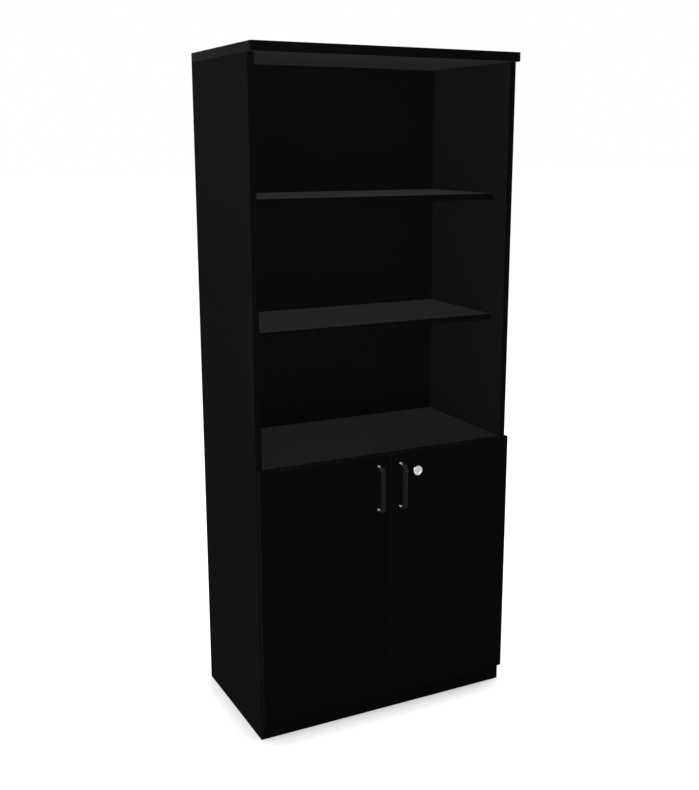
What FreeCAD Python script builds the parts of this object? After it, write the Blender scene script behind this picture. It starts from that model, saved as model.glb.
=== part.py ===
import FreeCAD, Part
import math
import os
from FreeCAD import Vector

# Bookcase with two cabinet doors, in millimetres.
# The origin is at the middle of the floor area, +Z is up, the doors face -Y.

# Carcass
WIDTH = 800.0
HEIGHT = 1895.0
DEPTH = 422.0
SIDE_T = 18.0
TOP_T = 25.0
TOP_OVERHANG = 21.0
BOTTOM_T = 18.0
PLINTH_H = 50.0
PLINTH_T = 18.0
FIXED_SHELF_TOP = 795.0
FIXED_SHELF_T = 18.0
BACK_T = 8.0
BACK_RECESS = 8.0
GROOVE_DEPTH = 7.0
GROOVE_FIT = 0.2

# Adjustable shelves
SHELF_T = 18.0
SHELF_SETBACK = 63.0
SHELF_END_PLAY = 0.5
SHELF_BACK_PLAY = 0.8
UPPER_SHELF_TOP = 1508.0
LOWER_SHELF_TOP = 1156.0
CUPBOARD_SHELF_TOP = 425.0

# Edge bands
BAND_T = 1.0
BAND_ROUND_SHARE = 0.8
TOP_BAND_T = 2.0
TOP_BAND_ROUND = 1.5
DOOR_BAND_T = 2.0
DOOR_BAND_ROUND = 1.5

# Doors
DOOR_T = 18.0
DOOR_GAP = 2.0
DOOR_TOP_RISE = 2.0
DOOR_BOTTOM_RISE = 4.0
DOOR_SIDE_REVEAL = 1.0
DOOR_MEETING_GAP = 3.0

# Dowels that join the carcass
DOWEL_D = 8.0
DOWEL_L = 30.0
DOWEL_IN_FACE = 12.0
DOWEL_FIT = 0.1
DOWEL_END_PLAY = 0.5
DOWEL_CHAMFER = 1.0
DOWEL_INSET = 45.0

# Shelf pins
PIN_D = 5.0
PIN_IN_SIDE = 9.0
PIN_FIT = 0.1
PIN_HEAD_D = 10.0
PIN_HEAD_L = 9.0
PIN_FLAT_RISE = 2.5
PIN_INSET = 40.0
PIN_ROUND = 1.0

# Handles, bent from round bar
HANDLE_D = 14.0
HANDLE_CENTRES = 128.0
HANDLE_STANDOFF = 23.0
HANDLE_BEND_R = 14.5
HANDLE_FROM_EDGE = 34.0
HANDLE_BELOW_TOP = 35.0
HANDLE_SCREW_D = 4.0
HANDLE_SCREW_HEAD_D = 8.5
HANDLE_SCREW_HEAD_H = 2.6
HANDLE_SCREW_GRIP = 9.0
SCREW_FIT = 0.15
SCREW_END_PLAY = 0.6
SCREW_ROUND_SHARE = 0.55

# Concealed cup hinges, two on each door
HINGE_FROM_END = 100.0
CUP_D = 35.0
CUP_DEPTH = 12.5
CUP_WALL = 0.9
CUP_TAB = 5.0
CUP_FIT = 0.1
CUP_ROUND = 1.5
FLANGE_T = 1.2
FLANGE_W = 19.0
FLANGE_L = 60.0
FLANGE_CORNER_R = 6.0
CUP_SCREW_CENTRES = 48.0
CUP_SCREW_OFFSET = 6.0
CUP_SCREW_D = 3.5
CUP_SCREW_HEAD_D = 7.0
CUP_SCREW_HEAD_H = 1.8
CUP_SCREW_L = 12.0
CUP_PIVOT_FROM_EDGE = 11.2
CUP_PIVOT_DEPTH = 4.0
ARM_PIVOT_FROM_SIDE = 21.0
ARM_PIVOT_SETBACK = 8.0
RIVET_D = 3.0
RIVET_FIT = 0.05
CUP_RIVET_L = 23.0
RIVET_HEAD_D = 5.0
RIVET_HEAD_H = 0.8
LINK_T = 2.2
LINK_W = 9.0
LINK_BULGE = 7.2
LINK_EYE_R = 3.2
ARM_SHEET = 1.4
ARM_CHANNEL_W = 11.6
ARM_HEIGHT = 14.0
ARM_FOOT = 4.0
ARM_REAR = 72.0
ARM_NECK_TOP = 36.0
ARM_NECK_LOW = 26.0
ARM_TIP_R = 5.0
ARM_MOUTH_PLAY = 0.6
ARM_ROUND = 1.0
ARM_SCREW_FRONT = 43.0
ARM_SCREW_REAR = 61.0
ARM_SCREW_D = 4.0
ARM_SCREW_L = 6.0
ARM_SCREW_HEAD_D = 7.5
ARM_SCREW_HEAD_H = 1.2
PLATE_T = 3.0
PLATE_W = 16.0
PLATE_L = 48.0
WING_ROUND_SHARE = 0.45
PLATE_SETBACK = 37.0
PLATE_SCREW_CENTRES = 32.0
PLATE_SCREW_D = 5.0
PLATE_SCREW_L = 12.0
PLATE_SCREW_HEAD_D = 9.5
PLATE_SCREW_HEAD_H = 2.0
RAIL_W = 11.2
RAIL_FRONT = 30.0
RAIL_REAR = 68.0
RAIL_PLAY = 0.15

# Rubber buffers between the doors and the carcass
BUFFER_D = 10.0
BUFFER_PLAY = 0.2
BUFFER_INSET = 24.0
BUFFER_ROUND_SHARE = 0.6

# Cam lock in the right door
LOCK_FROM_EDGE = 86.5
LOCK_BELOW_TOP = 62.0
ROSETTE_D = 28.0
ROSETTE_H = 4.5
ROSETTE_ROUND = 1.6
ROSETTE_DISH_D = 17.0
ROSETTE_DISH = 0.8
BARREL_D = 19.0
BARREL_FIT = 0.15
BARREL_PAST_NUT = 0.5
NUT_ACROSS_FLATS = 25.0
NUT_T = 4.0
NUT_CHAMFER = 0.8
CYLINDER_D = 12.0
CYLINDER_FIT = 0.05
KEYHOLE_W = 1.8
KEYHOLE_H = 8.0
KEYHOLE_DEPTH = 10.0
CAM_GAP = 0.3
CAM_T = 2.5
CAM_W = 15.0
CAM_REACH = 38.0
DRIVE_SIDE = 7.0
DRIVE_FIT = 0.1
CAM_SCREW_HEAD_D = 10.0
CAM_SCREW_HEAD_H = 2.2
CAM_SCREW_D = 4.0
CAM_SCREW_L = 8.0
KEEPER_T = 1.5
KEEPER_W = 34.0
KEEPER_DROP = 19.0
KEEPER_LEG = 24.0
KEEPER_PLAY = 0.7
KEEPER_BEND_R = 2.0
KEEPER_CORNER_R = 3.0
KEEPER_SCREW_CENTRES = 20.0
KEEPER_SCREW_D = 3.5
KEEPER_SCREW_HEAD_D = 7.0
KEEPER_SCREW_HEAD_H = 1.8
KEEPER_SCREW_L = 13.0

# One overrun serves every cut, one tolerance every comparison
OVER = 1.0
SAME = 0.001

# Planes worked out from the driving sizes
HALF_W = WIDTH / 2
INNER_X = HALF_W - SIDE_T
HANDLE_REACH = HANDLE_STANDOFF + HANDLE_D / 2
FRONT_REACH = DOOR_GAP + DOOR_T + HANDLE_REACH
FRONT_Y = (FRONT_REACH - DEPTH) / 2
REAR_Y = FRONT_Y + DEPTH
BACK_FACE_Y = REAR_Y - BACK_RECESS - BACK_T
DOOR_REAR_Y = FRONT_Y - DOOR_GAP
DOOR_FACE_Y = DOOR_REAR_Y - DOOR_T
SIDE_TOP_Z = HEIGHT - TOP_T
BOTTOM_TOP_Z = PLINTH_H + BOTTOM_T
FIXED_SHELF_LOW = FIXED_SHELF_TOP - FIXED_SHELF_T
DOOR_LOW_Z = PLINTH_H + DOOR_BOTTOM_RISE
DOOR_HIGH_Z = FIXED_SHELF_TOP + DOOR_TOP_RISE
DOOR_OUTER_X = HALF_W - DOOR_SIDE_REVEAL
DOOR_INNER_X = DOOR_MEETING_GAP / 2
HINGE_HEIGHTS = {"upper": DOOR_HIGH_Z - HINGE_FROM_END, "lower": DOOR_LOW_Z + HINGE_FROM_END}
SHELF_TOPS = {
    "upper_shelf": UPPER_SHELF_TOP,
    "lower_shelf": LOWER_SHELF_TOP,
    "cupboard_shelf": CUPBOARD_SHELF_TOP,
}
SHELF_FRONT_Y = FRONT_Y + SHELF_SETBACK
SHELF_REAR_Y = BACK_FACE_Y - SHELF_BACK_PLAY
CUP_X = -DOOR_OUTER_X + CUP_TAB + CUP_D / 2
CUP_PIVOT = Vector(-DOOR_OUTER_X + CUP_PIVOT_FROM_EDGE, DOOR_REAR_Y - CUP_PIVOT_DEPTH, 0)
ARM_PIVOT = Vector(-INNER_X + ARM_PIVOT_FROM_SIDE, FRONT_Y + ARM_PIVOT_SETBACK, 0)
LOCK_X = DOOR_INNER_X + LOCK_FROM_EDGE
LOCK_Z = DOOR_HIGH_Z - LOCK_BELOW_TOP
NUT_REAR_Y = DOOR_REAR_Y + NUT_T
BARREL_END_Y = NUT_REAR_Y + BARREL_PAST_NUT
CAM_FRONT_Y = BARREL_END_Y + CAM_GAP
CAM_REAR_Y = CAM_FRONT_Y + CAM_T

ALONG_X = Vector(1, 0, 0)
ALONG_Y = Vector(0, 1, 0)
ALONG_Z = Vector(0, 0, 1)


def box(x0, x1, y0, y1, z0, z1):
    """Box between two corners."""
    return Part.makeBox(x1 - x0, y1 - y0, z1 - z0, Vector(x0, y0, z0))


def rod(diameter, length, start, along):
    """Cylinder from a start point along a direction."""
    return Part.makeCylinder(diameter / 2, length, start, along)


def mirrored(shape):
    """The right-hand twin of a left-hand piece."""
    return shape.mirror(Vector(0, 0, 0), ALONG_X)


def group(shapes):
    """Separate solids that share one node."""
    return Part.makeCompound(shapes)


def slab(points, z0, z1):
    """Prism on a polygon that lies flat, from z0 to z1."""
    wire = Part.makePolygon([Vector(p.x, p.y, z0) for p in points + points[:1]])
    return Part.Face(wire).extrude(ALONG_Z * (z1 - z0))


def rounded(shape, radius, wanted):
    """Rounds the edges that the test picks."""
    return shape.makeFillet(radius, [edge for edge in shape.Edges if wanted(edge)])


def end_rounded(shape, radius, centre):
    """Rounds the edge whose middle is the centre point, such as the rim of a rod's end."""
    return rounded(shape, radius, lambda edge: edge.CenterOfMass.isEqual(centre, SAME))


def lies_at_y(edge, y):
    """True for an edge that lies in the plane of that y."""
    return all(math.isclose(vertex.Y, y) for vertex in edge.Vertexes)


def runs_along_y(edge):
    """True for an edge whose two ends differ in y."""
    return not math.isclose(edge.Vertexes[0].Y, edge.Vertexes[-1].Y)


def runs_along_x(edge):
    """True for an edge whose two ends differ in x."""
    return not math.isclose(edge.Vertexes[0].X, edge.Vertexes[-1].X)


def screw(head_d, head_h, shank_d, length, seat, along):
    """Pan-head screw whose head sits on the seat point and whose shank runs along a direction."""
    crown = seat - along * head_h
    head = end_rounded(rod(head_d, head_h, crown, along), head_h * SCREW_ROUND_SHARE, crown)
    return head.fuse(rod(shank_d, length, seat, along)).removeSplitter()


# Holes for dowels: one pair of cuts for each joint, front and rear
def dowel_depths():
    """Places of the two dowels of a panel end, along the depth."""
    return (FRONT_Y + DOWEL_INSET, BACK_FACE_Y - DOWEL_INSET)


def level_dowels():
    """Start points of the left-hand dowels that lie along X."""
    levels = (PLINTH_H + BOTTOM_T / 2, FIXED_SHELF_TOP - FIXED_SHELF_T / 2)
    start_x = -INNER_X - DOWEL_IN_FACE
    starts = [Vector(start_x, y, z) for z in levels for y in dowel_depths()]
    return starts + [Vector(start_x, FRONT_Y + PLINTH_T / 2, PLINTH_H / 2)]


def upright_dowels():
    """Start points of the left-hand dowels that stand between the side and the top."""
    start_z = SIDE_TOP_Z - (DOWEL_L - DOWEL_IN_FACE)
    return [Vector(-HALF_W + SIDE_T / 2, y, start_z) for y in dowel_depths()]


def dowel(start, along):
    """Wooden dowel with chamfered ends."""
    body = rod(DOWEL_D, DOWEL_L, start, along)
    ends = [edge for edge in body.Edges if len(edge.Vertexes) == 1]
    return body.makeChamfer(DOWEL_CHAMFER, ends)


def dowel_hole(start, along):
    """Bore for a dowel, with its fit and end play."""
    length = DOWEL_L + 2 * DOWEL_END_PLAY
    return rod(DOWEL_D + 2 * DOWEL_FIT, length, start - along * DOWEL_END_PLAY, along)


def dowel_holes():
    """Every dowel bore of both sides."""
    left = [dowel_hole(start, ALONG_X) for start in level_dowels()]
    left += [dowel_hole(start, ALONG_Z) for start in upright_dowels()]
    return left + [mirrored(hole) for hole in left]


def carcass_dowels():
    """All dowels of the carcass."""
    left = [dowel(start, ALONG_X) for start in level_dowels()]
    left += [dowel(start, ALONG_Z) for start in upright_dowels()]
    return group(left + [mirrored(pin) for pin in left])


# Shelf pins
def pin_places():
    """Where the left-hand shelf pins enter the side, for every adjustable shelf."""
    depths = (SHELF_FRONT_Y + PIN_INSET, SHELF_REAR_Y - PIN_INSET)
    lows = [top - SHELF_T - PIN_FLAT_RISE for top in SHELF_TOPS.values()]
    return [Vector(-INNER_X, y, z) for z in lows for y in depths]


def shelf_pin(place):
    """Pin in the side with a round head, cut flat where the shelf lies on it."""
    shank = rod(PIN_D, PIN_IN_SIDE, place - ALONG_X * PIN_IN_SIDE, ALONG_X)
    head = end_rounded(rod(PIN_HEAD_D, PIN_HEAD_L, place, ALONG_X), PIN_ROUND, place + ALONG_X * PIN_HEAD_L)
    flat = box(place.x - OVER, place.x + PIN_HEAD_L + OVER, place.y - PIN_HEAD_D, place.y + PIN_HEAD_D,
               place.z + PIN_FLAT_RISE, place.z + PIN_HEAD_D)
    return shank.fuse(head).removeSplitter().cut(flat)


def pin_hole(place):
    """Blind hole for a shelf pin."""
    depth = PIN_IN_SIDE + DOWEL_END_PLAY
    return rod(PIN_D + 2 * PIN_FIT, depth, place - ALONG_X * depth, ALONG_X)


def shelf_pins():
    """Four pins under each adjustable shelf."""
    left = [shelf_pin(place) for place in pin_places()]
    return group(left + [mirrored(pin) for pin in left])


# Carcass panels
def side_panel():
    """Left side, with the groove for the back and the bores for dowels, pins and screws."""
    core = box(-HALF_W, -INNER_X, FRONT_Y + BAND_T, REAR_Y, 0, SIDE_TOP_Z)
    groove = box(-INNER_X - GROOVE_DEPTH, -INNER_X + OVER, BACK_FACE_Y - GROOVE_FIT,
                 BACK_FACE_Y + BACK_T + GROOVE_FIT, PLINTH_H, SIDE_TOP_Z + OVER)
    cuts = [groove] + dowel_holes() + [pin_hole(place) for place in pin_places()]
    for height in HINGE_HEIGHTS.values():
        cuts += plate_screw_holes(height)
    return core.cut(cuts)


def top_panel():
    """Top board over the sides, grooved for the back, inside its edge band."""
    core = box(-HALF_W + TOP_BAND_T, HALF_W - TOP_BAND_T, FRONT_Y - TOP_OVERHANG + TOP_BAND_T, REAR_Y,
               SIDE_TOP_Z, HEIGHT)
    reach = INNER_X + GROOVE_DEPTH
    groove = box(-reach, reach, BACK_FACE_Y - GROOVE_FIT, BACK_FACE_Y + BACK_T + GROOVE_FIT,
                 SIDE_TOP_Z - OVER, SIDE_TOP_Z + GROOVE_DEPTH)
    return core.cut([groove] + dowel_holes())


def top_edge_band():
    """Band round the front and both ends of the top, rounded at the front and along the upper ends."""
    front_y = FRONT_Y - TOP_OVERHANG
    outer = box(-HALF_W, HALF_W, front_y, REAR_Y, SIDE_TOP_Z, HEIGHT)
    outer = rounded(outer, TOP_BAND_ROUND, lambda edge: lies_at_y(edge, front_y) or is_upper_end(edge))
    core = box(-HALF_W + TOP_BAND_T, HALF_W - TOP_BAND_T, front_y + TOP_BAND_T, REAR_Y + OVER,
               SIDE_TOP_Z - OVER, HEIGHT + OVER)
    return outer.cut(core)


def is_upper_end(edge):
    """True for an upper edge of the top that runs from front to rear."""
    return runs_along_y(edge) and math.isclose(edge.CenterOfMass.z, HEIGHT)


def panel_between_sides(low_z, high_z):
    """Fixed board from side to side, inside its front band."""
    board = box(-INNER_X, INNER_X, FRONT_Y + BAND_T, BACK_FACE_Y, low_z, high_z)
    return board.cut(dowel_holes())


def bottom_panel():
    """Floor of the cupboard."""
    return panel_between_sides(PLINTH_H, BOTTOM_TOP_Z)


def fixed_shelf():
    """Shelf over the cupboard, drilled for the screws of the lock's keeper."""
    return panel_between_sides(FIXED_SHELF_LOW, FIXED_SHELF_TOP).cut(keeper_screw_holes())


def plinth():
    """Board between the sides under the doors."""
    board = box(-INNER_X, INNER_X, FRONT_Y, FRONT_Y + PLINTH_T, 0, PLINTH_H)
    return board.cut(dowel_holes())


def back_panel():
    """Thin back that stands in the grooves of the sides and the top."""
    reach = INNER_X + GROOVE_DEPTH - GROOVE_FIT
    return box(-reach, reach, BACK_FACE_Y, BACK_FACE_Y + BACK_T, PLINTH_H,
               SIDE_TOP_Z + GROOVE_DEPTH - GROOVE_FIT)


def adjustable_shelf(top_z):
    """Loose shelf that lies on four pins, inside its front band."""
    half = INNER_X - SHELF_END_PLAY
    return box(-half, half, SHELF_FRONT_Y + BAND_T, SHELF_REAR_Y, top_z - SHELF_T, top_z)


def front_band(x0, x1, front_y, z0, z1):
    """Straight band on the front edge of a board."""
    strip = box(x0, x1, front_y, front_y + BAND_T, z0, z1)
    return rounded(strip, BAND_T * BAND_ROUND_SHARE, lambda edge: lies_at_y(edge, front_y))


def carcass_edge_bands():
    """Bands of the sides, the fixed shelf and the bottom."""
    side = front_band(-HALF_W, -INNER_X, FRONT_Y, 0, SIDE_TOP_Z)
    levels = ((PLINTH_H, BOTTOM_TOP_Z), (FIXED_SHELF_LOW, FIXED_SHELF_TOP))
    boards = [front_band(-INNER_X, INNER_X, FRONT_Y, low, high) for low, high in levels]
    return group([side, mirrored(side)] + boards)


def shelf_edge_bands():
    """Bands of the adjustable shelves."""
    half = INNER_X - SHELF_END_PLAY
    return group([front_band(-half, half, SHELF_FRONT_Y, top - SHELF_T, top) for top in SHELF_TOPS.values()])


# Doors
def door_band():
    """Band round the four edges of the left door, rounded at its face and its rear."""
    outer = box(-DOOR_OUTER_X, -DOOR_INNER_X, DOOR_FACE_Y, DOOR_REAR_Y, DOOR_LOW_Z, DOOR_HIGH_Z)
    rim = rounded(outer, DOOR_BAND_ROUND,
                  lambda edge: lies_at_y(edge, DOOR_FACE_Y) or lies_at_y(edge, DOOR_REAR_Y))
    return rim.cut(door_core(OVER))


def door_core(overrun):
    """Block inside the band of the left door."""
    return box(-DOOR_OUTER_X + DOOR_BAND_T, -DOOR_INNER_X - DOOR_BAND_T, DOOR_FACE_Y - overrun,
               DOOR_REAR_Y + overrun, DOOR_LOW_Z + DOOR_BAND_T, DOOR_HIGH_Z - DOOR_BAND_T)


def door_panel():
    """Left door, bored for the hinge cups and the handle."""
    cuts = handle_screw_holes()
    for height in HINGE_HEIGHTS.values():
        cuts += cup_bores(height)
    return door_core(0).cut(cuts)


def lock_bore():
    """Hole for the lock's barrel in the right door."""
    start = Vector(LOCK_X, DOOR_FACE_Y - OVER, LOCK_Z)
    return rod(BARREL_D + 2 * BARREL_FIT, DOOR_T + 2 * OVER, start, ALONG_Y)


# Handles
def handle_feet():
    """Where the two feet of the left handle stand on the door."""
    x = -DOOR_INNER_X - HANDLE_FROM_EDGE
    high = DOOR_HIGH_Z - HANDLE_BELOW_TOP
    return [Vector(x, DOOR_FACE_Y, high - HANDLE_CENTRES), Vector(x, DOOR_FACE_Y, high)]


def handle():
    """Bow of round bar: two feet, two bends and a straight grip."""
    low, high = handle_feet()
    out = ALONG_Y * -HANDLE_STANDOFF
    bend = ALONG_Y * -HANDLE_BEND_R
    rise = ALONG_Z * HANDLE_BEND_R
    low_leg, low_grip = low + out - bend, low + out + rise
    high_leg, high_grip = high + out - bend, high + out - rise
    low_mid = low_leg + rise + (bend - rise) * math.sqrt(1 / 2)
    high_mid = high_leg - rise + (bend + rise) * math.sqrt(1 / 2)
    path = Part.Wire([
        Part.LineSegment(low, low_leg).toShape(),
        Part.Arc(low_leg, low_mid, low_grip).toShape(),
        Part.LineSegment(low_grip, high_grip).toShape(),
        Part.Arc(high_grip, high_mid, high_leg).toShape(),
        Part.LineSegment(high_leg, high).toShape(),
    ])
    section = Part.Wire(Part.makeCircle(HANDLE_D / 2, low, ALONG_Y))
    bar = path.makePipeShell([section], True, True)
    depth = HANDLE_SCREW_GRIP + SCREW_END_PLAY
    taps = [rod(HANDLE_SCREW_D + 2 * SCREW_FIT, depth, foot - ALONG_Y * depth, ALONG_Y)
            for foot in (low, high)]
    return bar.cut(taps)


def handle_screw_holes():
    """Through holes in the left door for the handle's screws."""
    return [rod(HANDLE_SCREW_D + 2 * SCREW_FIT, DOOR_T + 2 * OVER, foot - ALONG_Y * OVER, ALONG_Y)
            for foot in handle_feet()]


def handle_screws():
    """Two screws from inside the door into the handle's feet."""
    seat_shift = ALONG_Y * DOOR_T
    return group([screw(HANDLE_SCREW_HEAD_D, HANDLE_SCREW_HEAD_H, HANDLE_SCREW_D,
                        DOOR_T + HANDLE_SCREW_GRIP, foot + seat_shift, -ALONG_Y) for foot in handle_feet()])


# Hinges
def cup_screw_places(height):
    """Where the two screws of a cup's flange enter the door."""
    x = CUP_X + CUP_SCREW_OFFSET
    half = CUP_SCREW_CENTRES / 2
    return [Vector(x, DOOR_REAR_Y, height - half), Vector(x, DOOR_REAR_Y, height + half)]


def cup_bores(height):
    """Bore for a cup and pilot holes for its screws."""
    centre = Vector(CUP_X, DOOR_REAR_Y + OVER, height)
    bores = [rod(CUP_D + 2 * CUP_FIT, CUP_DEPTH + CUP_FIT + OVER, centre, -ALONG_Y)]
    depth = CUP_SCREW_L - FLANGE_T + SCREW_END_PLAY
    for place in cup_screw_places(height):
        bores.append(rod(CUP_SCREW_D + 2 * SCREW_FIT, depth + OVER, place + ALONG_Y * OVER, -ALONG_Y))
    return bores


def hinge_cup(height):
    """Pressed cup let into the door, with a flange on the door's rear face."""
    mouth = Vector(CUP_X, DOOR_REAR_Y, height)
    shell = end_rounded(rod(CUP_D, CUP_DEPTH, mouth, -ALONG_Y), CUP_ROUND, mouth - ALONG_Y * CUP_DEPTH)
    flange_x = CUP_X + CUP_SCREW_OFFSET
    flange = box(flange_x - FLANGE_W / 2, flange_x + FLANGE_W / 2, DOOR_REAR_Y, DOOR_REAR_Y + FLANGE_T,
                 height - FLANGE_L / 2, height + FLANGE_L / 2)
    flange = rounded(flange, FLANGE_CORNER_R, runs_along_y)
    inside = CUP_DEPTH - CUP_WALL
    open_end = FLANGE_T + OVER
    hollow = rod(CUP_D - 2 * CUP_WALL, inside + open_end, mouth + ALONG_Y * open_end, -ALONG_Y)
    hollow = end_rounded(hollow, CUP_ROUND - CUP_WALL, mouth - ALONG_Y * inside)
    holes = [rod(CUP_SCREW_D + 2 * SCREW_FIT, FLANGE_T + 2 * OVER, place - ALONG_Y * OVER, ALONG_Y)
             for place in cup_screw_places(height)]
    rivet_hole = rod(RIVET_D + 2 * RIVET_FIT, CUP_D, CUP_PIVOT + ALONG_Z * (height - CUP_D / 2), ALONG_Z)
    return shell.fuse(flange).removeSplitter().cut([hollow, rivet_hole] + holes)


def cup_rivet(height):
    """Pin across the cup that the link turns on."""
    return rod(RIVET_D, CUP_RIVET_L, CUP_PIVOT + ALONG_Z * (height - CUP_RIVET_L / 2), ALONG_Z)


def cup_screws(height):
    """Screws of one cup."""
    return [screw(CUP_SCREW_HEAD_D, CUP_SCREW_HEAD_H, CUP_SCREW_D, CUP_SCREW_L,
                  place + ALONG_Y * FLANGE_T, -ALONG_Y) for place in cup_screw_places(height)]


def arc_band(start, end, bulge, thickness, z0, z1):
    """Curved strip of even thickness from start to end, bulging to the left of that direction."""
    chord = end - start
    half = chord.Length / 2
    radius = (half ** 2 + bulge ** 2) / (2 * bulge)
    normal = Vector(-chord.y, chord.x, 0).normalize()
    middle = (start + end) * (1 / 2)
    centre = middle - normal * (radius - bulge)

    def at(point, distance):
        """Point of the strip's edge at a distance from the arc's centre."""
        return centre + Vector(point.x - centre.x, point.y - centre.y, 0).normalize() * distance

    crown = middle + normal * bulge
    outer = [at(p, radius + thickness / 2) for p in (start, crown, end)]
    inner = [at(p, radius - thickness / 2) for p in (end, crown, start)]
    wire = Part.Wire([
        Part.Arc(*outer).toShape(), Part.LineSegment(outer[2], inner[0]).toShape(),
        Part.Arc(*inner).toShape(), Part.LineSegment(inner[2], outer[0]).toShape(),
    ])
    strip = Part.Face(wire).extrude(ALONG_Z * (z1 - z0))
    strip.translate(ALONG_Z * z0)
    return strip


def hinge_link(height):
    """Goose-necked link from the arm's rivet to the cup's rivet."""
    low = height - LINK_W / 2
    strip = arc_band(ARM_PIVOT, CUP_PIVOT, LINK_BULGE, LINK_T, low, low + LINK_W)
    ends = [point + ALONG_Z * low for point in (ARM_PIVOT, CUP_PIVOT)]
    eyes = [rod(2 * LINK_EYE_R, LINK_W, end, ALONG_Z) for end in ends]
    holes = [rod(RIVET_D + 2 * RIVET_FIT, LINK_W + 2 * OVER, end - ALONG_Z * OVER, ALONG_Z) for end in ends]
    return strip.fuse(eyes).removeSplitter().cut(holes)


def arm_point(from_side, setback):
    """Point of the arm's outline: distance from the side's inner face, distance behind the front."""
    return Vector(-INNER_X + from_side, FRONT_Y + setback, 0)


def tangent_point(point, centre, radius, turn):
    """Point where the tangent from a point touches a circle; turn is 1 or -1 for the side of it."""
    to_point = point - centre
    angle = math.atan2(to_point.y, to_point.x) + turn * math.acos(radius / to_point.Length)
    return centre + Vector(math.cos(angle), math.sin(angle), 0) * radius


def is_arm_crest(edge):
    """True for the long edges of the arm that its sheet is bent over."""
    web_x = -INNER_X + ARM_HEIGHT
    level = math.isclose(edge.Vertexes[0].Z, edge.Vertexes[-1].Z)
    return level and runs_along_y(edge) and any(math.isclose(vertex.X, web_x) for vertex in edge.Vertexes)


def arm_screw_places(height):
    """Seats of the two screws that hold an arm on its plate and adjust it."""
    setbacks = (ARM_SCREW_FRONT, ARM_SCREW_REAR)
    return [arm_point(ARM_HEIGHT, setback) + ALONG_Z * height for setback in setbacks]


def arm_screw_holes(height):
    """Holes for those screws through the arm's web and into the plate's rail."""
    depth = ARM_SCREW_L + SCREW_END_PLAY
    return [rod(ARM_SCREW_D + 2 * SCREW_FIT, depth + OVER, place + ALONG_X * OVER, -ALONG_X)
            for place in arm_screw_places(height)]


def arm_screws(height):
    """Screws of one arm."""
    return [screw(ARM_SCREW_HEAD_D, ARM_SCREW_HEAD_H, ARM_SCREW_D, ARM_SCREW_L, place, -ALONG_X)
            for place in arm_screw_places(height)]


def hinge_arm(height):
    """Channel-shaped arm that clips over the mounting plate and carries the link's rivet at its tip."""
    outer_half = ARM_CHANNEL_W / 2 + ARM_SHEET
    foot, heel = arm_point(ARM_FOOT, ARM_REAR), arm_point(ARM_HEIGHT, ARM_REAR)
    neck_top, neck_low = arm_point(ARM_HEIGHT, ARM_NECK_TOP), arm_point(ARM_FOOT, ARM_NECK_LOW)
    high = tangent_point(neck_top, ARM_PIVOT, ARM_TIP_R, -1)
    low = tangent_point(neck_low, ARM_PIVOT, ARM_TIP_R, 1)
    tip = ARM_PIVOT - ALONG_Y * ARM_TIP_R
    outline = Part.Wire([
        Part.LineSegment(foot, heel).toShape(), Part.LineSegment(heel, neck_top).toShape(),
        Part.LineSegment(neck_top, high).toShape(), Part.Arc(high, tip, low).toShape(),
        Part.LineSegment(low, neck_low).toShape(), Part.LineSegment(neck_low, foot).toShape(),
    ])
    block = Part.Face(outline).extrude(ALONG_Z * (2 * outer_half))
    block.translate(ALONG_Z * (height - outer_half))
    block = rounded(block, ARM_ROUND, is_arm_crest)
    half = ARM_CHANNEL_W / 2
    under_web = ARM_HEIGHT - ARM_SHEET
    inside_tip = ARM_PIVOT + (high - ARM_PIVOT) * ((ARM_TIP_R - ARM_SHEET) / ARM_TIP_R)
    channel = slab([arm_point(-OVER, ARM_REAR + OVER), arm_point(under_web, ARM_REAR + OVER),
                    arm_point(under_web, ARM_NECK_TOP), inside_tip, arm_point(-OVER, -OVER)],
                   height - half, height + half)
    mouth_rear = ARM_PIVOT.y + LINK_EYE_R + ARM_MOUTH_PLAY
    mouth = box(-INNER_X - OVER, ARM_PIVOT.x + 2 * ARM_TIP_R, ARM_PIVOT.y - 2 * ARM_TIP_R, mouth_rear,
                height - half, height + half)
    rivet_hole = rod(RIVET_D + 2 * RIVET_FIT, 2 * outer_half + 2 * OVER,
                     ARM_PIVOT + ALONG_Z * (height - outer_half - OVER), ALONG_Z)
    return block.cut([channel, mouth, rivet_hole] + arm_screw_holes(height))


def arm_rivet(height):
    """Headed pin through the arm's two cheeks and the link."""
    outer_half = ARM_CHANNEL_W / 2 + ARM_SHEET
    shank = rod(RIVET_D, 2 * outer_half, ARM_PIVOT + ALONG_Z * (height - outer_half), ALONG_Z)
    heads = [rod(RIVET_HEAD_D, RIVET_HEAD_H, ARM_PIVOT + ALONG_Z * (height + outer_half), ALONG_Z),
             rod(RIVET_HEAD_D, RIVET_HEAD_H, ARM_PIVOT + ALONG_Z * (height - outer_half), -ALONG_Z)]
    return shank.fuse(heads).removeSplitter()


def plate_screw_places(height):
    """Where the two screws of a mounting plate enter the left side."""
    half = PLATE_SCREW_CENTRES / 2
    y = FRONT_Y + PLATE_SETBACK
    return [Vector(-INNER_X, y, height - half), Vector(-INNER_X, y, height + half)]


def plate_screw_holes(height):
    """Blind holes in the left side for a mounting plate."""
    depth = PLATE_SCREW_L - PLATE_T + SCREW_END_PLAY
    return [rod(PLATE_SCREW_D + 2 * SCREW_FIT, depth + OVER, place + ALONG_X * OVER, -ALONG_X)
            for place in plate_screw_places(height)]


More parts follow.
